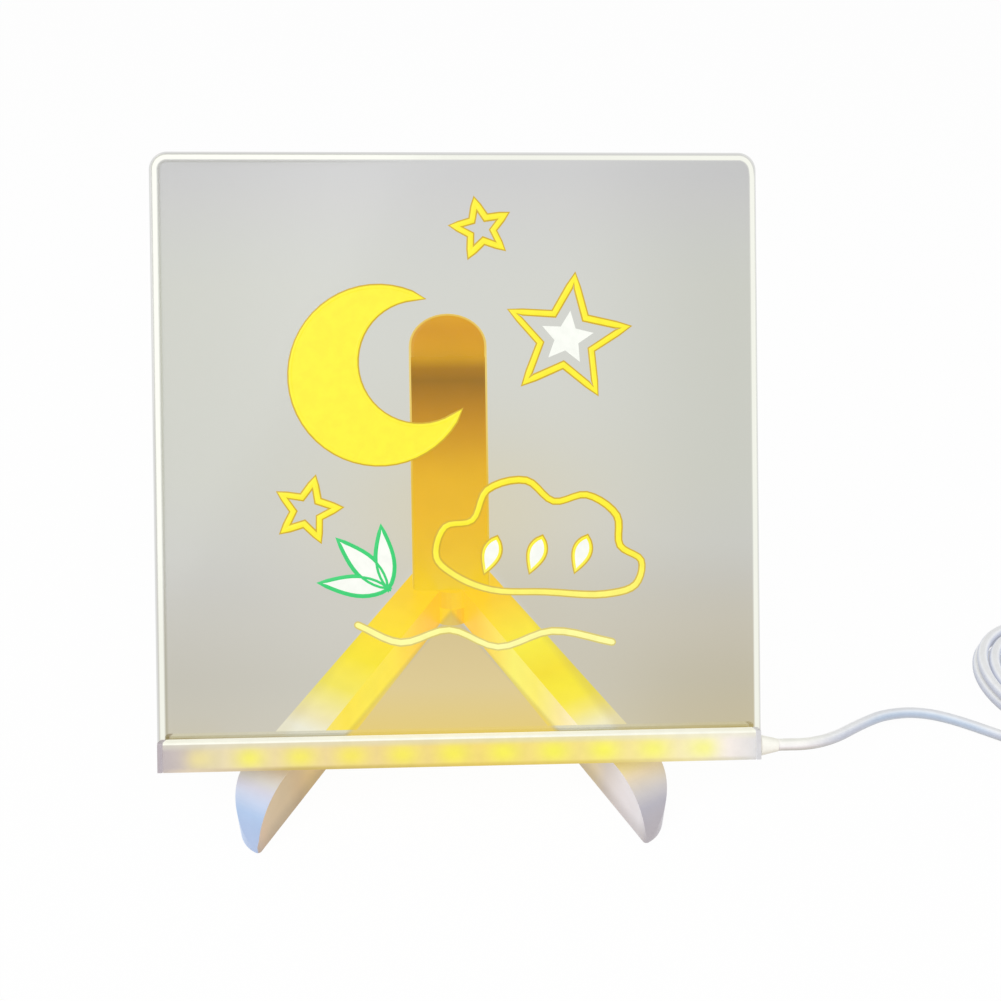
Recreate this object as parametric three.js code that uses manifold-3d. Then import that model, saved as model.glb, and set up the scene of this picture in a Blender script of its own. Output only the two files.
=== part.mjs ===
import * as THREE from 'three';
import { mergeVertices } from 'three/addons/utils/BufferGeometryUtils.js';
import Module from 'manifold-3d';

const wasm = await Module();
wasm.setup();

// Lengths are in millimetres and angles in degrees. X runs to the right, Y to the back and Z up.
// Until the last lines, the origin is on the table under the light bar's resting edge.

// Clearances and overshoot
const fitGap = 0.3;
const runningGap = 0.1;
const solderGap = 0.1;
const cutMargin = 1;

// Fineness of round shapes
const roundSides = 32;
const curveSteps = 10;

// Writing sheet
const sheetWidth = 200;
const sheetHeight = 198.2;
const sheetThickness = 4;
const sheetCornerRadius = 6;
const sheetEdgeRounding = 1.2;
const sheetLean = 35;

// Light bar
const barLength = 196.8;
const barDepth = 14;
const barHeight = 9.7;
const barRounding = 0.8;
const barWall = 1.4;
const barFloor = 1;
const chamberRoof = 6;
const capThickness = 1.5;
const capTabLength = 4;

// Lighting inside the bar
const boardInset = 5;
const boardWidth = 10;
const boardThickness = 0.8;
const ledCount = 11;
const firstLedInset = 14.4;
const lastLedInset = 20.8;
const ledLength = 3.5;
const ledWidth = 2.8;
const ledHeight = 0.8;
const resistorLength = 3.2;
const resistorWidth = 1.6;
const resistorHeight = 0.6;
const resistorInset = 3.4;
const ledsPerResistor = 3;
const leadRadius = 0.42;
const leadSides = 8;
const leadSteps = 16;
const leadUpperBend = { runShare: 0.3, shiftShare: 0.6, dropShare: 0.1 };
const leadLowerBend = { runShare: 0.7, shiftShare: 1, dropShare: 0.75 };

// Cable gland, placed in the bar's own section
const glandDepth = -11.9;
const glandHeight = 4.2;
const glandNeckRadius = 1.2;
const glandBaseRadius = 2.6;
const glandBaseStretch = 1.32;
const glandTipRadius = 2.15;
const glandBootLength = 5.6;

// Legs
const standShift = -3.4;
const pivotDepth = 95.5;
const legSpread = 28;
const legLength = 135.6;
const legWidth = 15.3;
const legHeight = 17.6;
const noseHeight = 19.3;
const noseLength = 19.2;
const tipWidth = 1.4;
const tipRounding = 1.2;
const sideTaperLength = 17.5;
const heelRadius = 6;
const knuckleRadius = 10.5;

// Post
const postWidth = 26.2;
const postFootWidth = 31.4;
const postReach = 149.2;
const headLength = 14.6;
const headThickness = 6;
const headArchHeight = 11;
const headRounding = 1.8;
const postFootDepth = 18;
const postWaist = 14;
const postWaistHeight = 60;
const postEdgeRounding = 1.5;

// Pivot screw and washer, under the lower knuckle
const screwShoulderRadius = 2;
const screwThreadRadius = 1.5;
const screwThreadLength = 12;
const screwHeadRadius = 3.2;
const screwHeadHeight = 1.8;
const screwHeadLift = 0.6;
const screwSlotWidth = 0.9;
const screwSlotDepth = 0.9;
const washerRadius = 4;
const washerThickness = 0.6;
const recessRadius = 4.5;
const recessDepth = 3.4;

// Cord, with the points its middle line follows where it isn't coiled
const cordRadius = 2;
const cordSides = 10;
const cordStep = 8;
const cordRest = 2.1;
const cordRoute = [
  [104.6, -7.3, 28.2],
  [108.4, -7.3, 28.2],
  [112.6, -6.6, 27.4],
  [117.7, -4.3, 25.3],
  [123.4, -0.8, 22.5],
  [129.0, 3.3, 19.6],
  [133.9, 7.6, 16.6],
  [138.9, 12.2, 13.6],
  [143.8, 16.5, 10.8],
  [149.5, 20.9, 8.2],
  [155.4, 24.7, 6.0],
  [162.2, 27.6, 4.1],
  [169.2, 29.0, 2.9],
  [176.6, 28.5, 2.2],
  [183.4, 26.1, 2.1],
  [189.6, 22.9, 2.1],
  [195.4, 19.5, 2.1],
  [201.5, 16.0, 2.1],
  [207.7, 12.9, 2.1],
  [214.4, 10.5, 2.1],
  [221.2, 8.9, 2.1],
  [228.2, 8.3, 2.1],
  [234.8, 9.1, 2.1],
  [240.6, 11.2, 2.1],
  [244.9, 14.1, 2.1],
  [248.1, 17.0, 2.1],
];
const tailRoute = [
  [256.2, 22.8, 6.6],
  [259.3, 25.4, 6.6],
  [266.2, 31.2, 5.9],
  [273.5, 37.7, 4.3],
  [280.2, 45.0, 2.9],
  [285.6, 53.2, 2.2],
  [289.2, 62.4, 2.1],
  [290.8, 72.3, 2.3],
  [291.2, 82.3, 3.2],
  [291.2, 89.8, 3.9],
  [291.2, 93.8, 4.0],
  [291.2, 97.8, 4.0],
];

// Coil of the cord
const coilCentre = [231.5, 43.5];
const upperCoilShift = [1.5, 0.3];
const coilOuterRadius = 31;
const coilPitch = 4.5;
const coilTurnsPerLayer = 3;
const coilStart = -50;
const coilStepsPerTurn = 24;
const coilSides = 6;
const coilLead = 4;

// Plug on the cord's end
const plugBodyWidth = 16;
const plugBodyHeight = 8;
const plugBodyLength = 28;
const plugBodyRounding = 1.5;
const plugNeckRadius = 3;
const plugNeckTipRadius = 2.4;
const plugNeckLength = 8;
const plugShellWidth = 12;
const plugShellHeight = 4.5;
const plugShellWall = 0.35;
const plugShellLength = 12;
const plugTongueWidth = 10.6;
const plugTongueHeight = 1.6;
const plugTongueLength = 11;

// Derived sizes
const lean = THREE.MathUtils.degToRad(sheetLean);
const seatHeight = legHeight + fitGap;
const sheetBack = -(barDepth - sheetThickness) / 2;
const sheetFront = sheetBack - sheetThickness;
const slotBack = sheetBack + fitGap;
const slotFront = sheetFront - fitGap;
const boardBottom = barFloor + fitGap;
const boardTop = boardBottom + boardThickness;
const ledBottom = boardTop + solderGap;
const sheetBottom = ledBottom + ledHeight + fitGap;
const housingEnd = barLength / 2 - capThickness - fitGap;
const boardLength = barLength - 2 * boardInset;
const ledPitch = (sheetWidth - firstLedInset - lastLedInset) / (ledCount - 1);
const knuckleHeight = (legHeight - fitGap) / 2;

// Solids and geometries

function toSolid(geometry) {
  const plain = geometry.clone();
  plain.deleteAttribute('normal');
  plain.deleteAttribute('uv');
  const merged = mergeVertices(plain);
  return new wasm.Manifold(new wasm.Mesh({
    numProp: 3,
    vertProperties: new Float32Array(merged.attributes.position.array),
    triVerts: new Uint32Array(merged.index.array),
  }));
}

function toGeometry(solid) {
  const mesh = solid.getMesh();
  const geometry = new THREE.BufferGeometry();
  geometry.setAttribute('position', new THREE.BufferAttribute(mesh.vertProperties, 3));
  geometry.setIndex(new THREE.BufferAttribute(mesh.triVerts, 1));
  geometry.computeVertexNormals();
  return geometry;
}

function outline(points) {
  return new THREE.Shape(points.map(([x, y]) => new THREE.Vector2(x, y)));
}

function extrude(shape, length, rounding) {
  return new THREE.ExtrudeGeometry(shape, {
    depth: length - 2 * rounding,
    curveSegments: curveSteps,
    bevelEnabled: rounding > 0,
    bevelThickness: rounding,
    bevelSize: rounding,
    bevelOffset: -rounding,
    bevelSegments: 3,
  });
}

// The shape lies in the YZ plane.
function prismAlongX(shape, left, right, rounding = 0) {
  const turn = new THREE.Matrix4().makeBasis(
    new THREE.Vector3(0, 1, 0),
    new THREE.Vector3(0, 0, 1),
    new THREE.Vector3(1, 0, 0),
  );
  return extrude(shape, right - left, rounding).applyMatrix4(turn).translate(left + rounding, 0, 0);
}

// The shape lies in the XZ plane.
function prismAlongY(shape, front, back, rounding = 0) {
  const geometry = extrude(shape, back - front, rounding);
  return geometry.rotateX(Math.PI / 2).translate(0, back - rounding, 0);
}

// The shape lies in the XY plane.
function prismUp(shape, bottom, top) {
  return extrude(shape, top - bottom, 0).translate(0, 0, bottom);
}

function block(low, high) {
  const size = high.map((value, axis) => value - low[axis]);
  const middle = high.map((value, axis) => (value + low[axis]) / 2);
  return new THREE.BoxGeometry(...size).translate(...middle);
}

// The profile holds [radius, height] pairs, from the axis round to the axis.
function turned(profile, sides = roundSides) {
  const points = profile.map(([radius, height]) => new THREE.Vector2(radius, height));
  return new THREE.LatheGeometry(points, sides).rotateX(Math.PI / 2);
}

function uprightRod(radius, bottom, top) {
  return turned([[0, bottom], [radius, bottom], [radius, top], [0, top]]);
}

function roundSection(radius, sides) {
  const corners = [];
  for (let side = 0; side < sides; side += 1) {
    const angle = 2 * Math.PI * side / sides;
    corners.push([radius * Math.cos(angle), radius * Math.sin(angle)]);
  }
  return outline(corners);
}

function smoothLine(points) {
  const curve = new THREE.CatmullRomCurve3(points.map((point) => new THREE.Vector3(...point)));
  curve.arcLengthDivisions = 10 * points.length;
  return curve;
}

function tube(curve, radius, sides, steps) {
  return new THREE.ExtrudeGeometry(roundSection(radius, sides), { steps, extrudePath: curve });
}

function piece(name, shape, material) {
  const mesh = new THREE.Mesh(shape.isBufferGeometry ? shape : toGeometry(shape), material);
  mesh.name = name;
  return mesh;
}

// Materials

function surface(color, roughness, metalness = 0) {
  return new THREE.MeshStandardMaterial({ color, roughness, metalness });
}

function clearSurface(color, roughness, opacity) {
  return new THREE.MeshStandardMaterial({ color, roughness, opacity, transparent: true });
}

function whitePlastic() {
  return surface('#ecebf0', 0.45);
}

function cordPlastic() {
  return surface('#e9edf5', 0.35);
}

function steel() {
  return surface('#b9bcc0', 0.3, 1);
}

// Writing sheet

function writingSheet() {
  const edge = sheetWidth / 2;
  const top = sheetBottom + sheetHeight;
  const shape = new THREE.Shape();
  shape.moveTo(-edge, sheetBottom);
  shape.lineTo(edge, sheetBottom);
  shape.absarc(edge - sheetCornerRadius, top - sheetCornerRadius, sheetCornerRadius, 0, Math.PI / 2);
  shape.absarc(-edge + sheetCornerRadius, top - sheetCornerRadius, sheetCornerRadius, Math.PI / 2, Math.PI);
  const sheet = prismAlongY(shape, sheetFront, sheetBack, sheetEdgeRounding);
  return piece('writing_sheet', toSolid(sheet), clearSurface('#d2d2d0', 0.1, 0.35));
}

// Light bar

function barOutline(innerPoints) {
  const shape = new THREE.Shape();
  shape.moveTo(-barDepth, 0);
  shape.lineTo(0, 0);
  shape.absarc(-barRounding, barHeight - barRounding, barRounding, 0, Math.PI / 2);
  innerPoints.forEach(([depth, height]) => shape.lineTo(depth, height));
  const frontRound = barRounding - barDepth;
  shape.absarc(frontRound, barHeight - barRounding, barRounding, Math.PI / 2, Math.PI);
  return shape;
}

function barHousing() {
  const section = barOutline([
    [slotBack, barHeight],
    [slotBack, chamberRoof],
    [-barWall, chamberRoof],
    [-barWall, barFloor],
    [barWall - barDepth, barFloor],
    [barWall - barDepth, chamberRoof],
    [slotFront, chamberRoof],
    [slotFront, barHeight],
  ]);
  const housing = prismAlongX(section, -housingEnd, housingEnd);
  return piece('light_bar_housing', toSolid(housing), clearSurface('#e6d9c4', 0.4, 0.8));
}

function endCap(name, side) {
  const notchFloor = sheetBottom - fitGap;
  const section = barOutline([
    [slotBack, barHeight],
    [slotBack, notchFloor],
    [slotFront, notchFloor],
    [slotFront, barHeight],
  ]);
  const outer = side * barLength / 2;
  const inner = outer - side * capThickness;
  const plate = toSolid(prismAlongX(section, Math.min(inner, outer), Math.max(inner, outer)));
  const tabEnd = inner - side * (fitGap + capTabLength);
  const tab = block(
    [Math.min(tabEnd, outer), slotBack, boardTop + fitGap],
    [Math.max(tabEnd, outer), -barWall - fitGap, chamberRoof - fitGap],
  );
  const cap = plate.add(toSolid(tab));
  if (side < 0) return piece(name, cap, whitePlastic());
  const hole = turned([
    [0, -capThickness - cutMargin],
    [glandNeckRadius + fitGap, -capThickness - cutMargin],
    [glandNeckRadius + fitGap, cutMargin],
    [0, cutMargin],
  ]).rotateY(Math.PI / 2).translate(outer, glandDepth, glandHeight);
  return piece(name, cap.subtract(toSolid(hole)), whitePlastic());
}

// Lighting

function circuitBoard() {
  const middle = -barDepth / 2;
  const board = block(
    [-boardLength / 2, middle - boardWidth / 2, boardBottom],
    [boardLength / 2, middle + boardWidth / 2, boardTop],
  );
  return piece('led_circuit_board', board, surface('#f3f1e8', 0.5));
}

function ledPlace(index) {
  return firstLedInset - sheetWidth / 2 + ledPitch * index;
}

function led(index) {
  const across = ledPlace(index);
  const middle = -barDepth / 2;
  const body = block(
    [across - ledLength / 2, middle - ledWidth / 2, ledBottom],
    [across + ledLength / 2, middle + ledWidth / 2, ledBottom + ledHeight],
  );
  const label = String(index + 1).padStart(2, '0');
  return piece(`led_${label}`, body, surface('#fff2a0', 0.4));
}

function resistor(number) {
  const across = ledPlace(ledsPerResistor * number) + ledPitch / 2;
  const middle = -resistorInset;
  const body = block(
    [across - resistorLength / 2, middle - resistorWidth / 2, ledBottom],
    [across + resistorLength / 2, middle + resistorWidth / 2, ledBottom + resistorHeight],
  );
  return piece(`resistor_${number + 1}`, body, surface('#2b2b2d', 0.5));
}

// Each lead runs from the gland's neck down to its pad on the circuit board.
function supplyLead(name, heightOffset, padDepth, color) {
  const neck = barLength / 2 - capThickness - fitGap;
  const run = neck - boardLength / 2 + ledLength;
  const padHeight = ledBottom + leadRadius;
  const neckHeight = glandHeight + heightOffset;
  const bend = ({ runShare, shiftShare, dropShare }) => [
    neck - run * runShare,
    glandDepth + (padDepth - glandDepth) * shiftShare,
    neckHeight + (padHeight - neckHeight) * dropShare,
  ];
  const curve = smoothLine([
    [neck, glandDepth, neckHeight],
    [neck - leadRadius, glandDepth, neckHeight],
    bend(leadUpperBend),
    bend(leadLowerBend),
    [neck - run, padDepth, padHeight],
    [neck - run - ledLength, padDepth, padHeight],
  ]);
  return piece(name, tube(curve, leadRadius, leadSides, leadSteps), surface(color, 0.4));
}

// A tapered boot, round at its tip and drawn out along the board at its base.
function cableGland() {
  const neckLength = capThickness + fitGap;
  const tipEnd = neckLength + glandBootLength;
  const gland = turned([
    [0, 0],
    [glandNeckRadius, 0],
    [glandNeckRadius, neckLength],
    [glandBaseRadius, neckLength],
    [glandTipRadius, tipEnd],
    [0, tipEnd],
  ]).rotateY(Math.PI / 2);
  const places = gland.attributes.position;
  for (let index = 0; index < places.count; index += 1) {
    const before = (tipEnd - places.getX(index)) / glandBootLength;
    const wide = Math.hypot(places.getY(index), places.getZ(index)) > glandNeckRadius + fitGap;
    const stretch = wide ? 1 + (glandBaseStretch - 1) * before : 1;
    places.setZ(index, places.getZ(index) * stretch);
  }
  gland.translate(barLength / 2 - capThickness, glandDepth, glandHeight);
  return piece('cable_gland', toSolid(gland), whitePlastic());
}

function lightBoard() {
  const group = new THREE.Group();
  group.name = 'light_board';
  group.add(writingSheet(), barHousing(), circuitBoard(), cableGland());
  group.add(endCap('left_end_cap', -1), endCap('right_end_cap', 1));
  for (let index = 0; index < ledCount; index += 1) group.add(led(index));
  for (let number = 0; ledsPerResistor * (number + 1) <= ledCount + 1; number += 1) {
    group.add(resistor(number));
  }
  const spacing = leadRadius + fitGap / 2;
  const innerPad = slotFront - leadRadius - fitGap;
  const outerPad = innerPad - 2 * spacing;
  group.add(supplyLead('supply_lead_positive', spacing, innerPad, '#b3261e'));
  group.add(supplyLead('supply_lead_negative', -spacing, outerPad, '#1d1d1f'));
  group.position.z = seatHeight;
  group.rotation.x = -lean;
  return group;
}

// Stand

function legPlan(side) {
  const plan = new THREE.Shape();
  const taperStart = legLength - sideTaperLength;
  plan.moveTo(0, 0);
  plan.lineTo(legLength - tipRounding, 0);
  plan.absellipse(legLength - tipRounding, tipWidth, tipRounding, tipWidth, -Math.PI / 2, 0);
  plan.absellipse(taperStart, tipWidth, sideTaperLength, legWidth - tipWidth, 0, Math.PI / 2);
  plan.absarc(heelRadius, legWidth - heelRadius, heelRadius, Math.PI / 2, Math.PI);
  const points = plan.getPoints(curveSteps).map(({ x, y }) => [x, side * y]);
  return outline(points);
}

function legProfile() {
  const profile = new THREE.Shape();
  profile.moveTo(-cutMargin, 0);
  profile.lineTo(legLength, 0);
  profile.absellipse(legLength - noseLength, 0, noseLength, noseHeight, 0, Math.PI / 2);
  profile.lineTo(-cutMargin, noseHeight);
  return profile;
}

// Turns a leg laid along X to its place in the stand. side is 1 on the right and -1 on the left.
function placeLeg(geometry, side) {
  const angle = THREE.MathUtils.degToRad(side * legSpread) - Math.PI / 2;
  return geometry.rotateZ(angle).translate(standShift, pivotDepth, 0);
}

// The space over the legs' low tops, ending at the slope behind which the bar rests.
function spaceOverLedge() {
  const top = noseHeight + cutMargin;
  const slopeRun = (top - legHeight) / Math.tan(lean);
  const back = pivotDepth + legWidth + cutMargin;
  const section = outline([[0, legHeight], [back, legHeight], [back, top], [-slopeRun, top]]);
  return prismAlongX(section, -legLength, legLength);
}

function atPivot(geometry) {
  return geometry.translate(standShift, pivotDepth, 0);
}

function leg(name, side) {
  const outer = toSolid(placeLeg(prismUp(legPlan(side), 0, noseHeight), side));
  const profile = toSolid(placeLeg(prismAlongY(legProfile(), -2 * legWidth, 2 * legWidth), side));
  const lower = side < 0;
  const knuckleBottom = lower ? 0 : legHeight - knuckleHeight;
  const knuckleTop = lower ? knuckleHeight : legHeight;
  const clearBottom = lower ? knuckleTop : -cutMargin;
  const clearTop = lower ? noseHeight + cutMargin : knuckleBottom;
  const knuckle = atPivot(uprightRod(knuckleRadius, knuckleBottom, knuckleTop));
  const clearance = atPivot(uprightRod(knuckleRadius + fitGap, clearBottom, clearTop));
  const boreRadius = screwShoulderRadius + runningGap;
  const bore = atPivot(uprightRod(boreRadius, -cutMargin, noseHeight + cutMargin));
  let solid = outer.intersect(profile).subtract(toSolid(spaceOverLedge()));
  solid = solid.add(toSolid(knuckle)).subtract(toSolid(clearance)).subtract(toSolid(bore));
  if (lower) {
    const recess = atPivot(uprightRod(recessRadius, -cutMargin, recessDepth));
    solid = solid.subtract(toSolid(recess));
  }
  return piece(name, solid, whitePlastic());
}

// A point [depth, height] in the world's YZ plane from the board's own depth and distance along it.
function onBoard(depth, along) {
  const back = depth * Math.cos(lean) + along * Math.sin(lean);
  const up = seatHeight - depth * Math.sin(lean) + along * Math.cos(lean);
  return [back, up];
}

// Widens the post evenly from its crease down to its foot.
function flared(geometry, creaseHeight) {
  const places = geometry.attributes.position;
  const widening = postFootWidth / postWidth - 1;
  for (let index = 0; index < places.count; index += 1) {
    const below = (creaseHeight - places.getZ(index)) / (creaseHeight - seatHeight);
    const factor = 1 + widening * Math.max(below, 0);
    places.setX(index, standShift + (places.getX(index) - standShift) * factor);
  }
  return geometry;
}

// The space that the post fills, seen square to the board: arched over the head and open below it.
function postSilhouette() {
  const half = postWidth / 2;
  const [left, right] = [standShift - postFootWidth, standShift + postFootWidth];
  const [creaseAlong, archBase] = [postReach - headLength, postReach - headArchHeight];
  const front = new THREE.Shape();
  front.moveTo(left, 0);
  front.lineTo(right, 0);
  front.lineTo(right, creaseAlong);
  front.lineTo(standShift + half, creaseAlong);
  front.absellipse(standShift, archBase, half, headArchHeight, 0, Math.PI);
  front.lineTo(standShift - half, creaseAlong);
  front.lineTo(left, creaseAlong);
  const prism = prismAlongY(front, slotBack, pivotDepth + postFootDepth, headRounding);
  return prism.rotateX(-lean).translate(0, 0, seatHeight);
}

function standPost() {
  const half = postWidth / 2;
  const headTop = onBoard(slotBack, postReach);
  const crease = onBoard(slotBack, postReach - headLength);
  const headBack = onBoard(slotBack + headThickness, postReach);
  const profile = new THREE.Shape();
  profile.moveTo(pivotDepth - postFootDepth / 2, seatHeight);
  profile.lineTo(pivotDepth + postFootDepth / 2, seatHeight);
  profile.quadraticCurveTo(crease[0] + postWaist, postWaistHeight, ...headBack);
  profile.lineTo(...headTop);
  profile.lineTo(...crease);
  const body = prismAlongX(profile, standShift - half, standShift + half, postEdgeRounding);
  const holeTop = seatHeight + screwThreadLength + cutMargin;
  const hole = atPivot(uprightRod(screwThreadRadius + runningGap, 0, holeTop));
  const solid = toSolid(flared(body, crease[1])).intersect(toSolid(postSilhouette()));
  return piece('stand_post', solid.subtract(toSolid(hole)), whitePlastic());
}

function pivotScrew() {
  const headTop = screwHeadLift + screwHeadHeight;
  const shank = atPivot(turned([
    [0, screwHeadLift],
    [screwHeadRadius, screwHeadLift],
    [screwHeadRadius, headTop],
    [screwShoulderRadius, headTop],
    [screwShoulderRadius, legHeight],
    [screwThreadRadius, legHeight],
    [screwThreadRadius, seatHeight + screwThreadLength],
    [0, seatHeight + screwThreadLength],
  ]));
  const [reach, half] = [screwShoulderRadius, screwSlotWidth / 2];
  const slotTop = screwHeadLift + screwSlotDepth;
  const slotAcross = atPivot(block([-reach, -half, 0], [reach, half, slotTop]));
  const slotAlong = atPivot(block([-half, -reach, 0], [half, reach, slotTop]));
  const solid = toSolid(shank).subtract(toSolid(slotAcross)).subtract(toSolid(slotAlong));
  return piece('pivot_screw', solid, steel());
}

function pivotWasher() {
  const slack = (recessDepth - screwHeadLift - screwHeadHeight - washerThickness) / 2;
  const bottom = screwHeadLift + screwHeadHeight + slack;
  const hole = screwShoulderRadius + 2 * runningGap;
  const top = bottom + washerThickness;
  const ring = turned([
    [hole, bottom],
    [washerRadius, bottom],
    [washerRadius, top],
    [hole, top],
    [hole, bottom],
  ]);
  return piece('pivot_washer', toSolid(atPivot(ring)), steel());
}

function foldingStand() {
  const group = new THREE.Group();
  group.name = 'folding_stand';
  group.add(standPost(), leg('left_leg', -1), leg('right_leg', 1), pivotScrew(), pivotWasher());
  return group;
}

// Cord

function cordRun(name, route) {
  const curve = smoothLine(route);
  const steps = Math.round(curve.getLength() / cordStep);
  return piece(name, tube(curve, cordRadius, cordSides, steps), cordPlastic());
}

function coilPoint(turn) {
  const middle = coilTurnsPerLayer;
  const angle = THREE.MathUtils.degToRad(coilStart) + 2 * Math.PI * turn;
  const innerRadius = coilOuterRadius - coilPitch * coilTurnsPerLayer;
  const radius = innerRadius + coilPitch * Math.abs(turn - middle);
  const [halfTurnStart, halfTurnEnd] = [middle - 0.25, middle + 0.25];
  const share = THREE.MathUtils.smoothstep(turn, halfTurnStart, halfTurnEnd);
  return new THREE.Vector3(
    coilCentre[0] + upperCoilShift[0] * share + radius * Math.cos(angle),
    coilCentre[1] + upperCoilShift[1] * share + radius * Math.sin(angle),
    cordRest + coilPitch * share,
  );
}

// The coil's points, with a straight stretch before its first turn and after its last.
function coilRoute() {
  const points = [];
  const count = 2 * coilTurnsPerLayer * coilStepsPerTurn;
  for (let step = 0; step <= count; step += 1) points.push(coilPoint(step / coilStepsPerTurn));
  const heading = THREE.MathUtils.degToRad(coilStart) + Math.PI / 2;
  const along = new THREE.Vector3(Math.cos(heading), Math.sin(heading), 0);
  const before = points[0].clone().addScaledVector(along, -coilLead);
  const after = points[count].clone().addScaledVector(along, coilLead);
  return [before, ...points, after];
}

function coilGap(points) {
  const apart = coilStepsPerTurn / 2;
  let least = Infinity;
  points.forEach((point, index) => {
    for (let other = index + apart; other < points.length; other += 1) {
      least = Math.min(least, point.distanceTo(points[other]));
    }
  });
  return least - 2 * cordRadius;
}

function cordCoil(points) {
  const curve = smoothLine(points.map((point) => point.toArray()));
  const coil = tube(curve, cordRadius, coilSides, points.length - 1);
  return piece('cord_coil', coil, cordPlastic());
}

// The plug points to the back from the tail's last point.

function plugBody() {
  const [across, start, up] = tailRoute[tailRoute.length - 1];
  const front = start + fitGap;
  const neck = turned([
    [0, 0],
    [plugNeckTipRadius, 0],
    [plugNeckRadius, plugNeckLength],
    [plugNeckRadius, plugNeckLength + plugBodyRounding],
    [0, plugNeckLength + plugBodyRounding],
  ]).rotateX(-Math.PI / 2).translate(across, front, up);
  const [halfWidth, halfHeight] = [plugBodyWidth / 2, plugBodyHeight / 2];
  const section = outline([
    [across - halfWidth, up - halfHeight],
    [across + halfWidth, up - halfHeight],
    [across + halfWidth, up + halfHeight],
    [across - halfWidth, up + halfHeight],
  ]);
  const bodyFront = front + plugNeckLength;
  const body = prismAlongY(section, bodyFront, bodyFront + plugBodyLength, plugBodyRounding);
  return piece('usb_plug_body', toSolid(body).add(toSolid(neck)), cordPlastic());
}

function plugFace() {
  const [across, start, up] = tailRoute[tailRoute.length - 1];
  return [across, start + 2 * fitGap + plugNeckLength + plugBodyLength, up];
}

function plugShell() {
  const [across, front, up] = plugFace();
  const box = (shrink, from, to) => toSolid(block(
    [across - plugShellWidth / 2 + shrink, from, up - plugShellHeight / 2 + shrink],
    [across + plugShellWidth / 2 - shrink, to, up + plugShellHeight / 2 - shrink],
  ));
  const end = front + plugShellLength;
  const shell = box(0, front, end).subtract(box(plugShellWall, front - cutMargin, end + cutMargin));
  return piece('usb_plug_shell', shell, steel());
}

function plugTongue() {
  const [across, front, up] = plugFace();
  const top = up + plugShellHeight / 2 - plugShellWall - fitGap / 2;
  const tongue = block(
    [across - plugTongueWidth / 2, front, top - plugTongueHeight],
    [across + plugTongueWidth / 2, front + plugTongueLength, top],
  );
  return piece('usb_plug_tongue', tongue, surface('#26282b', 0.5));
}

function powerCord() {
  const coilPoints = coilRoute();
  console.log('least gap in the coil', coilGap(coilPoints).toFixed(2));
  const group = new THREE.Group();
  group.name = 'power_lead';
  group.add(cordRun('power_cord', cordRoute), cordCoil(coilPoints), cordRun('cord_tail', tailRoute));
  group.add(plugBody(), plugShell(), plugTongue());
  return group;
}

// The whole object, moved so that the origin is under the middle of the stand and board

const writingBoard = new THREE.Group();
writingBoard.name = 'led_writing_board';
writingBoard.add(foldingStand(), lightBoard());
const footprint = new THREE.Box3().setFromObject(writingBoard, true);
writingBoard.add(powerCord());
const originDepth = (footprint.min.y + footprint.max.y) / 2;
writingBoard.position.y = -originDepth;
console.log('origin depth', originDepth.toFixed(3));
console.log('pivot', standShift, (pivotDepth - originDepth).toFixed(3));

export default writingBoard;
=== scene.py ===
import math

import bpy
import numpy as np
from mathutils import Matrix, Vector


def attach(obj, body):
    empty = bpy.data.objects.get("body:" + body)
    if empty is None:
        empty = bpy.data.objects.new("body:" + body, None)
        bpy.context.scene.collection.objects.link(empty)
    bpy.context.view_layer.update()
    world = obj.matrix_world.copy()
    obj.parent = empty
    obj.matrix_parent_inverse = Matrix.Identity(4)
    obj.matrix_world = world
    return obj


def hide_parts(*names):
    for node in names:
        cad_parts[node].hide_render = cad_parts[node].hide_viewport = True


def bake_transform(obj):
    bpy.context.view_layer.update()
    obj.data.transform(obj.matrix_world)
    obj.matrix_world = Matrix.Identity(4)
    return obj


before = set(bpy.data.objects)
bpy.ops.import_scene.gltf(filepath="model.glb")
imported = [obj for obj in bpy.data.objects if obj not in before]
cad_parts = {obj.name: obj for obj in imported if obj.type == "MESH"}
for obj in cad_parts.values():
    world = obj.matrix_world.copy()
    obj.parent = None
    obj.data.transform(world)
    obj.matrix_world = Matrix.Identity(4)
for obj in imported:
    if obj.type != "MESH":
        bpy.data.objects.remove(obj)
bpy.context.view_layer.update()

# Sizes of the model, in millimetres and radians
MM = 0.001
PER_METRE = 1000
LEAN = math.radians(35)
DEPTH_SHIFT = 43.623
SEAT_HEIGHT = 17.9
SHEET_WIDTH = 200
SHEET_TOP = 201.5
SHEET_FRONT = -9
SHEET_CORNER = 6
BAR_END = 100
FIRST_LED = -85.6
LED_PITCH = 16.48
STAND_MIDDLE = -3.4
PIVOT_DEPTH = 95.5
LEG_SPREAD = math.radians(28)

# How much of the light behind it each part of the sheet holds back
SHEET_VEIL = 0.25
LOWER_VEIL = 0.23
UPPER_VEIL = 0.215
# What the sheet adds in front of a piece, in its lower and upper part
LOWER_HAZE = (0.05, 0.05, 0.05)
UPPER_HAZE = (0.12, 0.09, 0.036)
# What a piece of the stand gives back where the sheet shines on it, its own light included
LIT_STRENGTH = 1.5

RIGHT = Vector((1, 0, 0))
UP = Vector((0, 0, 1))
FRONT = Vector((0, -math.cos(LEAN), math.sin(LEAN)))
ALONG = Vector((0, math.sin(LEAN), math.cos(LEAN)))


def on_board(across, depth, along):
    """A point given in millimetres across, behind the bar's rear face and along the board."""
    y = depth * math.cos(LEAN) + along * math.sin(LEAN) - DEPTH_SHIFT
    z = SEAT_HEIGHT - depth * math.sin(LEAN) + along * math.cos(LEAN)
    return Vector((across, y, z)) * MM


# Camera

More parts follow.
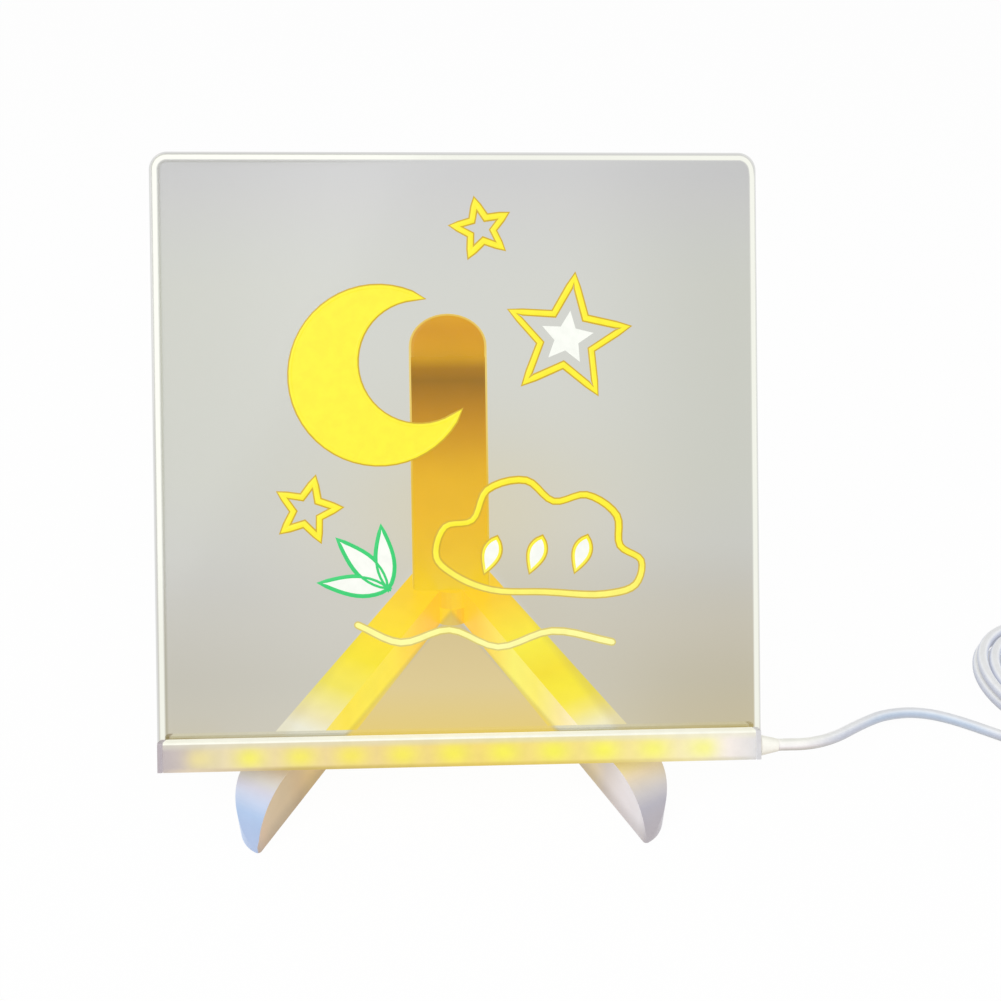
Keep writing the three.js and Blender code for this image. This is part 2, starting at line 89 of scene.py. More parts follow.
CAMERA_PLACE = (-0.002012, -0.288226, 0.298897)
CAMERA_ELEVATION = math.radians(35.520499)
CAMERA_YAW = math.radians(3.077750)
CAMERA_ROLL = math.radians(1.100270)
SENSOR_WIDTH = 36
FOCAL_LENGTH = 38.4063
NEAREST_SEEN = 0.01


def make_camera():
    flat = math.cos(CAMERA_ELEVATION)
    ahead = math.sin(CAMERA_YAW) * flat, math.cos(CAMERA_YAW) * flat
    view = Vector((*ahead, -math.sin(CAMERA_ELEVATION)))
    level = Vector((math.cos(CAMERA_YAW), -math.sin(CAMERA_YAW), 0))
    upward = level.cross(view)
    right = math.cos(CAMERA_ROLL) * level + math.sin(CAMERA_ROLL) * upward
    up = math.cos(CAMERA_ROLL) * upward - math.sin(CAMERA_ROLL) * level
    data = bpy.data.cameras.new("camera")
    data.sensor_width = SENSOR_WIDTH
    data.lens = FOCAL_LENGTH
    data.clip_start = NEAREST_SEEN
    camera = bpy.data.objects.new("camera", data)
    turn = Matrix((right, up, -view)).transposed().to_4x4()
    camera.matrix_world = Matrix.Translation(CAMERA_PLACE) @ turn
    bpy.context.collection.objects.link(camera)
    bpy.context.scene.camera = camera


# Colours and shader nodes

def tone(red, green, blue):
    """A shader colour from one read in steps of 0 to 255."""
    def linear(step):
        share = step / 255
        return share / 12.92 if share <= 0.04045 else ((share + 0.055) / 1.055) ** 2.4
    return (linear(red), linear(green), linear(blue), 1)


def seen_through(colour, veil, haze):
    """The shader colour of a lit piece that shows as the given colour through the sheet's two faces."""
    clear = (1 - veil) ** 2
    parts = zip(tone(*colour)[:3], haze)
    return tuple(max(part - added, 0) / clear / LIT_STRENGTH for part, added in parts) + (1,)


def behind_sheet(*colour):
    return seen_through(colour, LOWER_VEIL, LOWER_HAZE)


def behind_upper_sheet(*colour):
    return seen_through(colour, UPPER_VEIL, UPPER_HAZE)


GRAIN_HEIGHT = 0.0001
NOISE_RANGE = (0.3, 0.7)
# The darkest and lightest share of a colour that hardly varies
FAINT = (0.98, 1.02)
# The sockets of a mix node that take and give colours, its share first
MIX_INPUTS, MIX_OUTPUT = (0, 6, 7), 2
# A pale piece gives back at most this much of the light, its own light included
FULL_LIGHT = 0.97


class Paint:
    """One material: its shader, and short calls that wire values into it."""

    def __init__(self, name):
        self.material = bpy.data.materials.new(name)
        self.material.use_nodes = True
        self.nodes = self.material.node_tree.nodes
        self.links = self.material.node_tree.links
        self.shader = self.nodes["Principled BSDF"]
        coordinates = self.nodes.new("ShaderNodeTexCoord")
        self.place = coordinates.outputs["Object"]
        self.normal = coordinates.outputs["Normal"]

    def feed(self, socket, value):
        if isinstance(value, bpy.types.NodeSocket):
            self.links.new(value, socket)
        elif value is not None and socket.type == "VECTOR":
            socket.default_value = tuple(value)[:3]
        elif value is not None:
            socket.default_value = value

    def give(self, values):
        for name, value in values.items():
            self.feed(self.shader.inputs[name], value)

    def calc(self, operation, first, second=None, third=None):
        node = self.nodes.new("ShaderNodeMath")
        node.operation = operation
        for place, value in enumerate((first, second, third)):
            self.feed(node.inputs[place], value)
        return node.outputs[0]

    def chain(self, operation, values):
        result = values[0]
        for value in values[1:]:
            result = self.calc(operation, result, value)
        return result

    def plus(self, *values):
        return self.chain("ADD", values)

    def less(self, *values):
        return self.chain("SUBTRACT", values)

    def times(self, *values):
        return self.chain("MULTIPLY", values)

    def over(self, *values):
        return self.chain("DIVIDE", values)

    def most(self, *values):
        return self.chain("MAXIMUM", values)

    def straight(self, value, slope, start):
        """Start plus slope times the value."""
        return self.calc("MULTIPLY_ADD", value, slope, start)

    def size(self, value):
        """The value without its sign."""
        return self.calc("ABSOLUTE", value)

    def bell(self, *offsets):
        """1 where every offset is 0, and close to 0 where one is past 2."""
        squares = self.plus(*[self.calc("POWER", offset, 2) for offset in offsets])
        return self.calc("EXPONENT", self.times(squares, -1))

    def dot(self, vector, direction):
        node = self.nodes.new("ShaderNodeVectorMath")
        node.operation = "DOT_PRODUCT"
        self.feed(node.inputs[0], vector)
        self.feed(node.inputs[1], tuple(direction))
        return node.outputs["Value"]

    def facing(self, direction):
        """How far a face is turned to the direction, from -1 to 1."""
        return self.dot(self.normal, direction)

    def across(self):
        """Millimetres to the right of the board's middle."""
        return self.times(self.dot(self.place, RIGHT), PER_METRE)

    def height(self):
        """Millimetres above the table."""
        return self.times(self.dot(self.place, UP), PER_METRE)

    def along(self):
        """Millimetres up the board's slope from the bar's underside."""
        shift = DEPTH_SHIFT * math.sin(LEAN) - SEAT_HEIGHT * math.cos(LEAN)
        return self.straight(self.dot(self.place, ALONG), PER_METRE, shift)

    def depth(self):
        """Millimetres behind the bar's rear face, less than 0 in front of it."""
        shift = DEPTH_SHIFT * math.cos(LEAN) + SEAT_HEIGHT * math.sin(LEAN)
        return self.straight(self.dot(self.place, -FRONT), PER_METRE, shift)

    def rise(self, value, low, high, start=0.0, end=1.0):
        """Start below low, end above high, and a smooth step between them."""
        node = self.nodes.new("ShaderNodeMapRange")
        node.interpolation_type = "SMOOTHSTEP"
        for place, number in enumerate((value, low, high, start, end)):
            self.feed(node.inputs[place], number)
        return node.outputs["Result"]

    def fall(self, value, low, high):
        """1 below low, 0 above high, and a smooth step between them."""
        return self.rise(value, low, high, 1, 0)

    def ramp(self, value, low, high, stops, shade=tone):
        """A colour that follows value from low to high through the stops, each a value and a colour."""
        share = self.nodes.new("ShaderNodeMapRange")
        for place, number in enumerate((value, low, high)):
            self.feed(share.inputs[place], number)
        node = self.nodes.new("ShaderNodeValToRGB")
        elements = node.color_ramp.elements
        while len(elements) < len(stops):
            elements.new(0.5)
        for element, (at, colour) in zip(elements, stops):
            element.position = (at - low) / (high - low)
        for element, (at, colour) in zip(elements, stops):
            element.color = shade(*colour)
        self.feed(node.inputs[0], share.outputs["Result"])
        return node.outputs["Color"]

    def mix(self, share, first, second):
        """First where the share is 0, second where it is 1."""
        node = self.nodes.new("ShaderNodeMix")
        node.data_type = "RGBA"
        for place, value in zip(MIX_INPUTS, (share, first, second)):
            self.feed(node.inputs[place], value)
        return node.outputs[MIX_OUTPUT]

    def scaled(self, colour, share):
        node = self.nodes.new("ShaderNodeVectorMath")
        node.operation = "SCALE"
        self.feed(node.inputs[0], colour)
        self.feed(node.inputs["Scale"], share)
        return node.outputs[0]

    def noise(self, scale):
        node = self.nodes.new("ShaderNodeTexNoise")
        values = {"Vector": self.place, "Scale": scale, "Detail": 3.0, "Roughness": 0.5}
        for name, value in values.items():
            self.feed(node.inputs[name], value)
        return node.outputs[0]

    def patchy(self, scale, low, high):
        """A number between low and high that varies from place to place."""
        return self.rise(self.noise(scale), *NOISE_RANGE, low, high)

    def mottled(self, colour, scale, low, high):
        """The colour, a little darker and lighter from place to place."""
        return self.scaled(colour, self.patchy(scale, low, high))

    def grain(self, scale, strength):
        """The fine bumps of a moulded face."""
        node = self.nodes.new("ShaderNodeBump")
        values = {"Height": self.noise(scale), "Distance": GRAIN_HEIGHT, "Strength": strength}
        for name, value in values.items():
            self.feed(node.inputs[name], value)
        return node.outputs[0]

    def glow(self, colour, plain, bright):
        """The colour as it is lit, times plain, and as it shines by itself, times bright."""
        lit = self.scaled(colour, plain)
        self.give({"Base Color": lit, "Emission Color": colour, "Emission Strength": bright})


# The sheet

# Where each change starts and ends, in millimetres
RIM_START, RIM_END = (0.3, 1.0), (2.1, 2.8)
LINE_START, LINE_END = (2.3, 2.8), (2.9, 3.8)
FRONT_FACE, WALL_DEPTH = (-8, -6), (-8.2, -5.4)
LEFT_SIDE = (-60, 0)
ROUND_STAND = (-20, 20)
INSIDE_EDGE, OUTSIDE_EDGE = (-1.5, 1.5), (-1, 4)
INSIDE_TOP, OUTSIDE_TOP = (44, 66), (38, 80)
CORNER_START = (58, 80)
LOWER_STEP, UPPER_STEP = (25, 48), (55, 95)
SIDE_START = (30, 95)
DIM_START, DIM_TOP = (45, 80), (15, 45)
# The same for how a face is turned
WALL_TILT = (0.25, 0.55)
# The legs' inner and outer edges through the sheet: slope and start of their distance from the stand's middle
LEG_INSIDE, LEG_OUTSIDE = (-0.87, 43.2), (-0.76, 60.5)
# Across and along the sheet, in millimetres
HALO_MIDDLE, HALO_SIZE = (3, 82), (50, 30)
CORNER_HEIGHT, CORNER_FADE = 10, 25
RIM_SETBACK = 0.5
# Left and right of the stand
CORNER_WARMTH, BESIDE_WARMTH = (0.2, 0.35), (0.15, 0.32)
SIDE_COVER = (0.042, 0.05)
DIM_COVER, STEP_DEPTH = 0.035, 0.008
WARM_COVER, HALO_COVER, LINE_COVER, RIM_COVER = 0.37, 0.09, 0.4, 0.92
HALO_SHARE, LINE_SHARE = 0.8, 0.9
# The rim, edge and wall tones are painted glow that makes the sheet's edges bright; the walls are palest at
# the front and darkest on the left
RIM_TONE, EDGE_TONE, LINE_TONE, HALO_TONE = (240, 241, 230), (206, 206, 205), (110, 108, 60), (172, 152, 10)
WALL_FRONT, WALL_LEFT, WALL_RIGHT = (246, 247, 239), (188, 188, 164), (212, 212, 204)
SHEET_TONE = (24, 24, 25)
ACRYLIC_INDEX = 1.49
SHEET_RANGE = (0, 204)
SHEET_GLOW = [
    (0, (128, 118, 70)), (26, (104, 100, 58)), (60, (92, 92, 66)), (95, (91, 98, 20)), (130, (91, 98, 5)),
    (157, (90, 97, 20)), (170, (80, 88, 34)), (185, (62, 62, 34)), (195, (24, 24, 20)), (204, (50, 50, 40)),
]
WARM_RANGE = (0, 60)
WARM_GLOW = [(10, (220, 189, 58)), (25, (212, 188, 112)), (40, (206, 182, 112)), (58, (205, 180, 100))]


def sheet_inset(paint, sideways, along):
    """Millimetres from the sheet's rounded outline inwards."""
    beside = paint.less(paint.size(sideways), SHEET_WIDTH / 2 - SHEET_CORNER)
    above = paint.less(along, SHEET_TOP - SHEET_CORNER)
    squares = [paint.calc("POWER", paint.most(part, 0), 2) for part in (beside, above)]
    inner = paint.calc("MINIMUM", paint.most(beside, above), 0)
    outside = paint.plus(paint.calc("SQRT", paint.plus(*squares)), inner)
    return paint.less(SHEET_CORNER, outside)


def sheet_warmth(paint, signed, along):
    """How warm the sheet shines: between the legs, in its lower corners and beside the legs."""
    middle = paint.size(signed)
    room = paint.less(paint.straight(along, *LEG_INSIDE), middle)
    between = paint.times(paint.rise(room, *INSIDE_EDGE), paint.fall(along, *INSIDE_TOP))
    low = paint.calc("EXPONENT", paint.over(paint.less(CORNER_HEIGHT, along), CORNER_FADE))
    side = paint.rise(signed, *ROUND_STAND, *CORNER_WARMTH)
    corner = paint.times(low, side, paint.rise(middle, *CORNER_START))
    outside = paint.less(middle, paint.straight(along, *LEG_OUTSIDE))
    side = paint.rise(signed, *ROUND_STAND, *BESIDE_WARMTH)
    beside = paint.times(paint.rise(outside, *OUTSIDE_EDGE), side)
    return paint.most(between, corner, paint.times(beside, paint.fall(along, *OUTSIDE_TOP)))


def sheet_veil(paint, sideways, signed, along):
    """How much of what is behind it the sheet covers, before its light and its rim are added."""
    step = LOWER_VEIL - STEP_DEPTH
    veil = paint.rise(along, *LOWER_STEP, SHEET_VEIL, step)
    veil = paint.less(veil, paint.rise(along, *UPPER_STEP, 0, step - UPPER_VEIL))
    side = paint.rise(paint.size(sideways), *SIDE_START)
    side = paint.times(side, paint.rise(signed, *ROUND_STAND, *SIDE_COVER))
    corner = paint.times(paint.rise(along, *DIM_TOP, DIM_COVER, 0), paint.rise(signed, *DIM_START))
    return paint.plus(veil, side, corner)


def acrylic():
    paint = Paint("clear_acrylic_sheet")
    sideways, along = paint.across(), paint.along()
    signed = paint.less(sideways, STAND_MIDDLE)
    left = paint.rise(sideways, *LEFT_SIDE, RIM_SETBACK, 0)
    upper = paint.rise(paint.less(along, SHEET_TOP - SHEET_CORNER), -SHEET_CORNER / 2, SHEET_CORNER / 2)
    setback = paint.most(left, paint.times(upper, RIM_SETBACK))
    deep = paint.less(sheet_inset(paint, sideways, along), setback)

    front = paint.fall(paint.depth(), *FRONT_FACE)
    wall = paint.fall(paint.size(paint.facing(FRONT)), *WALL_TILT)
    rim = paint.times(paint.rise(deep, *RIM_START), paint.fall(deep, *RIM_END), front)
    edge = paint.times(paint.fall(deep, *RIM_START), paint.most(front, wall))
    line = paint.times(paint.rise(deep, *LINE_START), paint.fall(deep, *LINE_END), front, left)
    wall_back = paint.mix(paint.over(left, RIM_SETBACK), tone(*WALL_RIGHT), tone(*WALL_LEFT))
    wall_glow = paint.mix(paint.rise(paint.depth(), *WALL_DEPTH), tone(*WALL_FRONT), wall_back)

    warm = sheet_warmth(paint, signed, along)
    offsets = [paint.less(place, middle) for place, middle in zip((sideways, along), HALO_MIDDLE)]
    halo = paint.bell(*[paint.over(offset, size) for offset, size in zip(offsets, HALO_SIZE)])
    glow = paint.ramp(along, *SHEET_RANGE, SHEET_GLOW)
    glow = paint.mix(warm, glow, paint.ramp(along, *WARM_RANGE, WARM_GLOW))
    glow = paint.mix(paint.times(halo, HALO_SHARE), glow, tone(*HALO_TONE))
    glow = paint.mix(paint.times(line, LINE_SHARE), glow, tone(*LINE_TONE))
    glow = paint.mix(rim, glow, tone(*RIM_TONE))
    glow = paint.mix(edge, glow, paint.mix(wall, tone(*EDGE_TONE), wall_glow))

    veil = sheet_veil(paint, sideways, signed, along)
    for light, cover in ((warm, WARM_COVER), (halo, HALO_COVER), (line, LINE_COVER)):
        veil = paint.plus(veil, paint.times(light, cover))
    paint.give({
        "Base Color": paint.mottled(tone(*SHEET_TONE), 60, 0.9, 1.1),
        "Emission Color": glow,
        "Emission Strength": 1.0,
        "Alpha": paint.most(veil, paint.times(paint.most(rim, edge), RIM_COVER)),
        "Roughness": paint.patchy(500, 0.1, 0.16),
        "IOR": ACRYLIC_INDEX,
        "Specular IOR Level": 0.5,
    })
    return paint.material


# The bar and its ends, with places in millimetres across the bar or along the sheet

BAR_RANGE = (-BAR_END, BAR_END)
# The rows paint the lamps' light and shade on the bar's face: warm in the middle, greyer towards the ends and
# darkest at the left end. The shoulder rows are paler under the top, the foot rows a painted shade along the
# underside
BETWEEN_LAMPS = [
    (-100, (180, 171, 176)), (-90, (200, 188, 180)), (-77, (232, 217, 178)), (-61, (235, 215, 164)),
    (-30, (237, 211, 142)), (6, (242, 216, 118)), (37, (243, 222, 134)), (62, (246, 230, 160)),
    (80, (249, 240, 205)), (88, (247, 238, 231)), (98, (221, 220, 221)),
]
LAMP_SPOTS = [
    (-90, (226, 210, 160)), (-82, (236, 222, 150)), (-69, (244, 236, 104)), (-37, (246, 230, 94)),
    (0, (249, 238, 82)), (29, (247, 240, 84)), (46, (249, 243, 92)), (62, (248, 243, 118)),
    (79, (248, 245, 148)),
]
BAR_FOOT = [
    (-100, (184, 176, 180)), (-88, (224, 206, 178)), (-70, (206, 186, 150)), (-56, (198, 173, 92)),
    (-20, (210, 186, 92)), (9, (222, 194, 88)), (42, (220, 196, 96)), (75, (232, 218, 160)),
    (98, (210, 209, 210)),
]
BAR_SHOULDER = [(-90, (216, 212, 196)), (-20, (222, 216, 190)), (40, (228, 222, 186)), (75, (238, 234, 212))]
LAMP_HEIGHT = 4.2
SPOT_HALF_WIDTH = 0.33
SPOT_HALF_HEIGHT = 3.8
LIT_START, LIT_END = (-94, -86), (80, 90)
SHOULDER_START, FOOT_END = (6.4, 8.7), (0.3, 1.7)
LEDGE_START, LEDGE_TILT = (8.7, 9.2), (0.35, 0.85)
LIP_START = (-5.5, -4.5)
# The bar's top face is painted near white, a painted highlight line along the bar
LEDGE_TONE = (251, 251, 236)
END_TILT = (0.6, 0.8)
SHOULDER_SHARE, FOOT_SHARE = 0.65, 0.9
# How much a place shines by itself, and the least that it gives back of other light
DULL, LAMP_LIGHT, LEDGE_LIGHT, END_LIGHT, LIP_LIGHT = 0.12, 0.5, 0.6, 0.85, 0.86
LEAST_PLAIN = 0.05


def lamp_spots(paint, across, along):
    """1 in front of each lamp, and a tenth of that halfway to the next."""
    steps = paint.over(paint.less(across, FIRST_LED), LED_PITCH)
    beside = paint.less(paint.calc("FRACT", paint.plus(steps, 0.5)), 0.5)
    above = paint.over(paint.less(along, LAMP_HEIGHT), SPOT_HALF_HEIGHT)
    return paint.bell(paint.over(beside, SPOT_HALF_WIDTH), above)


def bar_plastic():
    paint = Paint("milky_bar_plastic")
    across, along = paint.across(), paint.along()
    lit = paint.times(paint.rise(across, *LIT_START), paint.fall(across, *LIT_END))
    between, lamp, shoulder, foot = [
        paint.ramp(across, *BAR_RANGE, stops) for stops in (BETWEEN_LAMPS, LAMP_SPOTS, BAR_SHOULDER, BAR_FOOT)
    ]
    face = paint.mix(paint.times(lamp_spots(paint, across, along), lit), between, lamp)
    face = paint.mix(paint.times(paint.rise(along, *SHOULDER_START), SHOULDER_SHARE), face, shoulder)
    face = paint.mix(paint.times(paint.fall(along, *FOOT_END), FOOT_SHARE), face, foot)

    upward = paint.rise(paint.facing(ALONG), *LEDGE_TILT)
    ledge = paint.most(paint.rise(along, *LEDGE_START), upward)
    lip = paint.times(paint.rise(paint.depth(), *LIP_START), upward)
    end = paint.rise(paint.size(paint.facing(RIGHT)), *END_TILT)
    face = paint.mottled(paint.mix(ledge, face, tone(*LEDGE_TONE)), 260, *FAINT)
    shares = [paint.times(*pair) for pair in ((ledge, LEDGE_LIGHT), (end, END_LIGHT), (lip, LIP_LIGHT))]
    bright = paint.most(paint.straight(lit, LAMP_LIGHT, DULL), *shares)
    paint.glow(face, paint.most(paint.less(FULL_LIGHT, bright), LEAST_PLAIN), bright)
    paint.give({"Roughness": 0.42, "Normal": paint.grain(900, 0.2)})
    return paint.material


def cap_plastic(name, colour, inward):
    """inward is the direction across, -1 or 1, in which the cap faces the bar's lit end."""
    paint = Paint(name)
    face = paint.mottled(tone(*colour), 200, 0.97, 1.03)
    bright = paint.rise(paint.facing(inward * RIGHT), *END_TILT, DULL, END_LIGHT)
    paint.glow(face, paint.less(FULL_LIGHT, bright), bright)
    paint.give({"Roughness": 0.4, "Normal": paint.grain(900, 0.2)})
    return paint.material


# The cord's plastic, by how far a face looks up to the lamps

CORD_LIGHT = (-0.1, 0.25, 0.96)
FACING_RANGE = (-1, 1)
GLAND_STOPS = [
    (-0.9, (206, 200, 186)), (-0.4, (222, 216, 202)), (0, (242, 238, 228)), (0.4, (250, 248, 239)),
    (0.8, (249, 248, 238)), (0.95, (238, 237, 226)),
]
# The cord is white: near the bar the rows hold the bar's warmer painted light, and on the far part a painted
# cool bluish light
NEAR_STOPS = [
    (-0.9, (184, 180, 172)), (-0.4, (194, 188, 180)), (0, (228, 220, 219)), (0.3, (249, 246, 245)),
    (0.8, (250, 249, 243)), (0.95, (236, 236, 228)),
]
PLAIN_STOPS = [
    (-0.9, (178, 178, 178)), (-0.4, (183, 185, 192)), (0, (189, 192, 206)), (0.34, (200, 205, 219)),
    (0.62, (222, 226, 236)), (0.8, (241, 243, 246)), (0.95, (230, 231, 232)),
]
COOL_LIGHT_STOPS = [
    (-0.9, (188, 189, 193)), (-0.4, (186, 193, 204)), (0, (183, 194, 212)), (0.34, (185, 200, 220)),
    (0.62, (208, 220, 235)), (0.8, (229, 235, 243)), (0.95, (222, 224, 228)),
]
CORD_PLAIN, CORD_BRIGHT = 0.6, 0.38
PLAIN_START = (112, 134)
COOL_LIGHT_START, COOL_LIGHT_END = (138, 156), (188, 200)


def gland_plastic():
    paint = Paint("gland_plastic")
    face = paint.ramp(paint.facing(CORD_LIGHT), *FACING_RANGE, GLAND_STOPS)
    paint.glow(paint.mottled(face, 300, *FAINT), CORD_PLAIN, CORD_BRIGHT)
    paint.give({"Roughness": 0.4})
    return paint.material


def cord_plastic():
    paint = Paint("cord_plastic")
    across, facing = paint.across(), paint.facing(CORD_LIGHT)
    near, plain, blue = [
        paint.ramp(facing, *FACING_RANGE, stops) for stops in (NEAR_STOPS, PLAIN_STOPS, COOL_LIGHT_STOPS)
    ]
    colour = paint.mix(paint.rise(across, *PLAIN_START), near, plain)
    # The cord's far part is painted with a cool bluish light
    cool_light_share = paint.times(paint.rise(across, *COOL_LIGHT_START), paint.fall(across, *COOL_LIGHT_END))
    colour = paint.mottled(paint.mix(cool_light_share, colour, blue), 300, *FAINT)
    paint.glow(colour, CORD_PLAIN, CORD_BRIGHT)
    paint.give({"Roughness": 0.45, "Normal": paint.grain(1500, 0.15)})
    return paint.material


# The stand, which the sheet lights from in front

SHONE_PLAIN, SHONE_BRIGHT = 0.12, LIT_STRENGTH - 0.1
POST_RANGE = (17, 145)
SHAFT_FRONT = (0, -0.996, -0.09)
SHONE_TILT, FACE_TILT = (0.12, 0.35), (0.86, 0.95)
INNER_TILT, OUTER_TILT = (0.4, 0.7), (-0.6, -0.3)
SHADOW_HEIGHT = (1, 9)
SHADOW_SHARE, SHADOW_TONE = 0.3, (120, 104, 92)
# How far from the pivot a leg is seen through the sheet, which is further where the leg is higher
CROSSING, CROSSING_SLOPE, CROSSING_SHIFT = (100, 107), -0.97, 17.1
# The plain and the bright share where the sheet doesn't shine
POST_LIGHT, LEG_LIGHT = (0.88, 0.06), (0.64, 0.33)
# The sheet's light painted on the post's front face: amber, with a painted shade band below the head, darkest
# at about 121 mm
POST_FACE = [
    (18, (252, 214, 50)), (40, (249, 198, 40)), (60, (247, 188, 33)), (77, (242, 183, 32)),
    (85, (234, 174, 28)), (93, (221, 160, 28)), (102, (210, 148, 25)), (110, (194, 135, 27)),
    (116, (181, 126, 26)), (121, (166, 117, 26)), (126, (182, 128, 24)), (130, (214, 158, 32)),
    (133, (224, 163, 25)), (138, (222, 158, 33)), (143, (230, 168, 45)),
]
# A painted highlight along the post's rounded front edges
POST_EDGE_HIGHLIGHT = [
    (18, (240, 200, 60)), (75, (236, 190, 60)), (95, (240, 204, 100)), (130, (243, 210, 112)),
    (143, (236, 196, 90)),
]
# The post's white plastic where the sheet doesn't shine, painted a little warmer low down, where the bar's
# light reaches
POST_PLAIN = [(18, (238, 228, 196)), (70, (236, 228, 208)), (145, (232, 230, 226))]
LIT_LEG_RANGE, FOOT_RANGE = (20, 100), (100, 136)
LEFT_TOP = [
    (20, (251, 210, 44)), (40, (251, 222, 48)), (58, (249, 230, 62)), (66, (249, 232, 88)),
    (74, (246, 233, 102)), (82, (245, 235, 152)), (90, (241, 232, 188)), (96, (240, 239, 224)),
]
LEFT_INNER = [
    (20, (246, 190, 36)), (50, (250, 226, 50)), (66, (248, 228, 66)), (82, (248, 224, 57)),
    (90, (246, 224, 90)), (97, (245, 226, 124)),
]
# The foot rows paint the light on the white feet in front of the bar: warm from the bar next to it, cooler
# and darker further out
LEFT_FOOT_TOP = [
    (104, (244, 230, 170)), (112, (240, 222, 160)), (116, (226, 210, 188)), (122, (218, 216, 214)),
    (125, (207, 208, 224)), (128, (192, 204, 229)), (131, (175, 198, 231)), (135.5, (174, 192, 226)),
]
LEFT_FOOT_INNER = [
    (104, (226, 195, 130)), (112, (209, 181, 138)), (118, (210, 187, 150)), (128, (213, 190, 157)),
    (132, (218, 190, 160)), (135.5, (211, 189, 172)),
]
RIGHT_TOP = [
    (20, (250, 205, 40)), (50, (248, 236, 76)), (66, (247, 226, 62)), (74, (249, 233, 66)),
    (82, (251, 235, 76)), (88, (250, 235, 120)), (92, (246, 236, 160)), (97, (243, 237, 202)),
]
RIGHT_INNER = [
    (20, (246, 196, 40)), (50, (247, 238, 106)), (66, (249, 235, 105)), (74, (246, 232, 130)),
    (82, (248, 230, 156)), (90, (248, 234, 190)), (97, (246, 238, 215)),
]
RIGHT_FOOT_TOP = [
    (104, (246, 232, 160)), (112, (243, 225, 147)), (119, (236, 222, 173)), (122, (231, 216, 190)),
    (125, (215, 205, 193)), (128, (200, 195, 196)), (131, (184, 181, 191)), (135.5, (181, 174, 179)),
]
RIGHT_FOOT_INNER = [
    (104, (226, 208, 170)), (112, (216, 206, 203)), (117, (222, 215, 218)), (122, (226, 220, 226)),
    (131, (227, 223, 229)), (135.5, (200, 195, 202)),
]


def stand_finish_and_painted_glow(paint, colour, shone, plain, bright):
    """Paints the sheet's light on a stand piece as its glow, with its grain and roughness. plain and bright
    are the shares where shone is 0.
    """
    colour = paint.mottled(colour, 120, *FAINT)
    plain = paint.rise(shone, 0, 1, plain, SHONE_PLAIN)
    bright = paint.rise(shone, 0, 1, bright, SHONE_BRIGHT)
    paint.glow(colour, plain, bright)
    paint.give({"Roughness": 0.38, "Normal": paint.grain(1100, 0.15)})
    return paint.material


def post_plastic():
    paint = Paint("post_plastic")
    height = paint.height()
    toward = paint.most(paint.facing(FRONT), paint.facing(SHAFT_FRONT))
    # face is the painted light on the front face, border the painted highlight on its rounded edges
    face, border = [
        paint.ramp(height, *POST_RANGE, stops, behind_upper_sheet) for stops in (POST_FACE, POST_EDGE_HIGHLIGHT)
    ]
    plain = paint.ramp(height, *POST_RANGE, POST_PLAIN)
    shone = paint.rise(toward, *SHONE_TILT)
    colour = paint.mix(shone, plain, paint.mix(paint.rise(toward, *FACE_TILT), border, face))
    return stand_finish_and_painted_glow(paint, colour, shone, *POST_LIGHT)


def leg_plastic(name, side, lit_stops, foot_stops):
    """side is 1 for the left leg and -1 for the right one. The stops are for the top and the inner side."""
    paint = Paint(name)
    spread, rear = side * math.sin(LEG_SPREAD), math.cos(LEG_SPREAD)
    shift = STAND_MIDDLE * spread + (PIVOT_DEPTH - DEPTH_SHIFT) * rear
    reach = paint.straight(paint.dot(paint.place, (-spread, -rear, 0)), PER_METRE, shift)
    inwards = paint.facing((side * rear, -abs(spread), 0))
    inward = paint.rise(inwards, *INNER_TILT)
    lit = [paint.ramp(reach, *LIT_LEG_RANGE, stops, behind_sheet) for stops in lit_stops]
    # foot is the painted light on the feet, where the sheet doesn't cover them
    foot = [paint.ramp(reach, *FOOT_RANGE, stops) for stops in foot_stops]
    lit, foot = paint.mix(inward, *lit), paint.mix(inward, *foot)

    height = paint.height()
    shadow = paint.times(paint.fall(height, *SHADOW_HEIGHT), inward, SHADOW_SHARE)
    foot = paint.mix(shadow, foot, tone(*SHADOW_TONE))
    behind = paint.fall(paint.plus(reach, paint.straight(height, CROSSING_SLOPE, CROSSING_SHIFT)), *CROSSING)
    shone = paint.times(behind, paint.rise(inwards, *OUTER_TILT))
    return stand_finish_and_painted_glow(paint, paint.mix(behind, foot, lit), shone, *LEG_LIGHT)


# Materials of the small parts

def plain_plastic(name, colour, roughness):
    paint = Paint(name)
    paint.give({
        "Base Color": paint.mottled(tone(*colour), 220, 0.9, 1.05),
        "Roughness": paint.patchy(440, roughness - 0.05, roughness + 0.05),
        "Normal": paint.grain(880, 0.2),
    })
    return paint.material


def led_resin():
    paint = Paint("led_resin")
    paint.glow(paint.mottled(tone(255, 232, 90), 400, 0.95, 1.04), 0.5, 1.2)
    paint.give({"Roughness": 0.3})
    return paint.material


def brushed_metal(name, colour):
    paint = Paint(name)
    paint.give({
        "Base Color": paint.mottled(tone(*colour), 500, 0.9, 1.05),
        "Metallic": 1.0,
        "Roughness": paint.patchy(800, 0.22, 0.34),
    })
    return paint.material


def dress(material, *names):
    for name in names:
        for slot in bpy.data.objects[name].material_slots:
            slot.material = material


